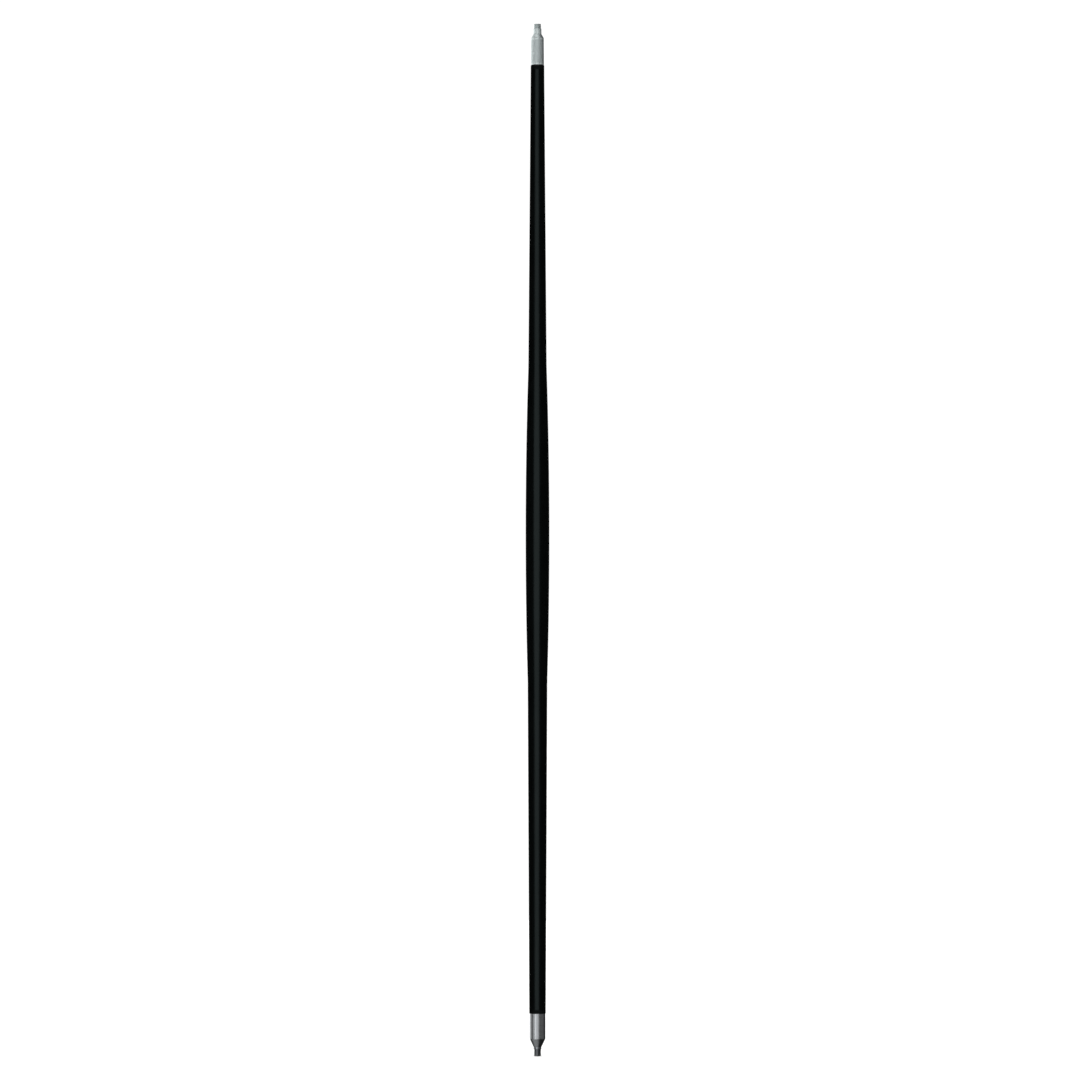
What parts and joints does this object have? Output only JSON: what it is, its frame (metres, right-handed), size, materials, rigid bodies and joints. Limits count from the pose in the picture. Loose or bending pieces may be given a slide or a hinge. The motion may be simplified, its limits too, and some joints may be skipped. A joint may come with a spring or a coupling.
{
  "type": "roller extension pole",
  "caption": "Slender black telescopic pole with a central hand swell, a tapered metal ferrule and a short threaded stud at each end, and a twist-lock inner pole.",
  "frame": {"origin": "centre of the butt stud's end face, the pole's lowest point when it stands on its butt", "axes": "+Z along the pole from the butt to the head, the front of the pole towards -Y"},
  "size_m": [0.0334, 0.0334, 1.45],
  "materials": {
    "black_skin": "satin",
    "core_wood": "matte",
    "aluminium_tube": "satin",
    "black_nylon": "matte",
    "polished_steel": "polished",
    "zinc_plate": "satin",
    "dark_steel": "satin",
    "bumper_rubber": "matte"
  },
  "bodies": {
    "outer_pole": {"body_skin": "black_skin", "lower_core": "core_wood", "upper_core": "core_wood", "swell_core": "core_wood", "outer_tube": "aluminium_tube", "mouth_bush": "black_nylon", "butt_ferrule": "polished_steel", "butt_plug": "aluminium_tube", "butt_stud": "dark_steel", "butt_pin": "dark_steel", "tube_bumper": "bumper_rubber"},
    "glide": {"guide_ring": "black_nylon"},
    "inner_pole": {"inner_tube": "aluminium_tube", "head_ferrule": "zinc_plate", "head_stud": "zinc_plate", "head_pin": "zinc_plate", "lock_plug": "black_nylon", "lock_plug_pin": "dark_steel", "lock_spindle": "dark_steel", "cam_washer": "dark_steel", "cam_screw": "dark_steel", "stop_collar": "black_nylon", "stop_pin": "dark_steel"},
    "cam": {"lock_cam": "black_nylon"}
  },
  "joints": [
    {"name": "extend", "type": "slide", "parent": "outer_pole", "child": "glide", "axis": [0, 0, 1], "range_m": [0, 1.08]},
    {"name": "twist", "type": "hinge", "parent": "glide", "child": "inner_pole", "pos_m": [0, 0, 1.4], "axis": [0, 0, 1], "range_deg": [0, 120]},
    {"name": "cam_turn", "type": "hinge", "parent": "inner_pole", "child": "cam", "pos_m": [0.0003, -0.00052, 0.1161], "axis": [0, 0, 1], "range_deg": [-120, 0]}
  ],
  "couplings": [
    {"joint": "cam_turn", "follows": "twist", "ratio": -1}
  ]
}
